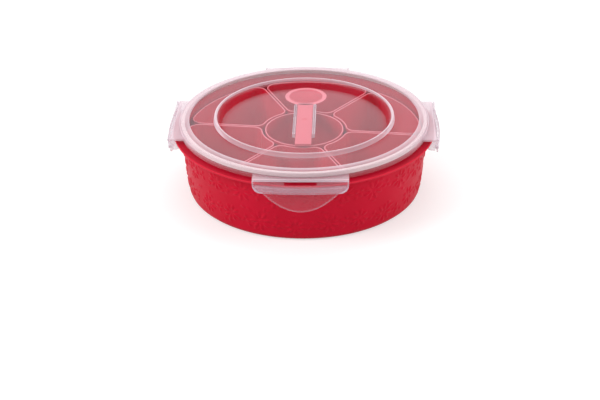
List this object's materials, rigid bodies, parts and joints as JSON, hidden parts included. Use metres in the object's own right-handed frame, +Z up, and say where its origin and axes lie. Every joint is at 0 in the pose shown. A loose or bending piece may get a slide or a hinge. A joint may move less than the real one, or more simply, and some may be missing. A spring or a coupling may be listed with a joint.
{
  "type": "spice box",
  "caption": "Round lock-lid spice box: embossed bowl, clear lid with four hinged locking flaps, a spoon in rails and loose spice cups.",
  "frame": {"origin": "centre of the flat base, on the surface the box stands on", "axes": "+Z up through the box's axis, front flap and spoon handle end toward -Y, spoon bowl toward +Y"},
  "size_m": [0.2474, 0.2474, 0.0719],
  "materials": {
    "bowl_red": "satin, embossed",
    "lid_clear": "clear gloss",
    "seal_white": "matte silicone",
    "cup_red": "gloss",
    "spoon_red": "gloss"
  },
  "bodies": {
    "box": {"box_body": "bowl_red"},
    "lid": {"lid": "lid_clear", "seal_ring": "seal_white", "right_hinge_film": "lid_clear", "rear_hinge_film": "lid_clear", "left_hinge_film": "lid_clear", "front_hinge_film": "lid_clear"},
    "spoon": {"spoon": "spoon_red"},
    "centre_cup": {"centre_cup": "cup_red"},
    "right_flap": {"right_flap": "lid_clear"},
    "rear_flap": {"rear_flap": "lid_clear"},
    "left_flap": {"left_flap": "lid_clear"},
    "front_flap": {"front_flap": "lid_clear"},
    "wedge_cup_1": {"wedge_cup_1": "cup_red"},
    "wedge_cup_2": {"wedge_cup_2": "cup_red"},
    "wedge_cup_3": {"wedge_cup_3": "cup_red"},
    "wedge_cup_4": {"wedge_cup_4": "cup_red"},
    "wedge_cup_5": {"wedge_cup_5": "cup_red"},
    "wedge_cup_6": {"wedge_cup_6": "cup_red"}
  },
  "joints": [
    {"name": "lid_lift", "type": "slide", "parent": "box", "child": "lid", "axis": [0, 0, 1], "range_m": [0, 0.15]},
    {"name": "right_flap_hinge", "type": "hinge", "parent": "lid", "child": "right_flap", "pos_m": [0.1193, 0, 0.0654], "axis": [0, -1, 0], "range_deg": [0, 135], "deforming": ["right_hinge_film"]},
    {"name": "rear_flap_hinge", "type": "hinge", "parent": "lid", "child": "rear_flap", "pos_m": [0, 0.1193, 0.0654], "axis": [1, 0, 0], "range_deg": [0, 135], "deforming": ["rear_hinge_film"]},
    {"name": "left_flap_hinge", "type": "hinge", "parent": "lid", "child": "left_flap", "pos_m": [-0.1193, 0, 0.0654], "axis": [0, 1, 0], "range_deg": [0, 135], "deforming": ["left_hinge_film"]},
    {"name": "front_flap_hinge", "type": "hinge", "parent": "lid", "child": "front_flap", "pos_m": [0, -0.1193, 0.0654], "axis": [-1, 0, 0], "range_deg": [0, 135], "deforming": ["front_hinge_film"]},
    {"name": "spoon_slide", "type": "slide", "parent": "lid", "child": "spoon", "axis": [0, 1, 0], "range_m": [0, 0.02]},
    {"name": "centre_cup_lift", "type": "slide", "parent": "box", "child": "centre_cup", "axis": [0, 0, 1], "range_m": [0, 0.0825]},
    {"name": "wedge_cup_1_lift", "type": "slide", "parent": "box", "child": "wedge_cup_1", "axis": [0, 0, 1], "range_m": [0, 0.0675]},
    {"name": "wedge_cup_2_lift", "type": "slide", "parent": "box", "child": "wedge_cup_2", "axis": [0, 0, 1], "range_m": [0, 0.0675]},
    {"name": "wedge_cup_3_lift", "type": "slide", "parent": "box", "child": "wedge_cup_3", "axis": [0, 0, 1], "range_m": [0, 0.0675]},
    {"name": "wedge_cup_4_lift", "type": "slide", "parent": "box", "child": "wedge_cup_4", "axis": [0, 0, 1], "range_m": [0, 0.0675]},
    {"name": "wedge_cup_5_lift", "type": "slide", "parent": "box", "child": "wedge_cup_5", "axis": [0, 0, 1], "range_m": [0, 0.0675]},
    {"name": "wedge_cup_6_lift", "type": "slide", "parent": "box", "child": "wedge_cup_6", "axis": [0, 0, 1], "range_m": [0, 0.0675]}
  ],
  "couplings": [
    {"joint": "centre_cup_lift", "follows": "lid_lift", "ratio": 0.55},
    {"joint": "wedge_cup_1_lift", "follows": "lid_lift", "ratio": 0.45},
    {"joint": "wedge_cup_2_lift", "follows": "lid_lift", "ratio": 0.45},
    {"joint": "wedge_cup_3_lift", "follows": "lid_lift", "ratio": 0.45},
    {"joint": "wedge_cup_4_lift", "follows": "lid_lift", "ratio": 0.45},
    {"joint": "wedge_cup_5_lift", "follows": "lid_lift", "ratio": 0.45},
    {"joint": "wedge_cup_6_lift", "follows": "lid_lift", "ratio": 0.45}
  ]
}
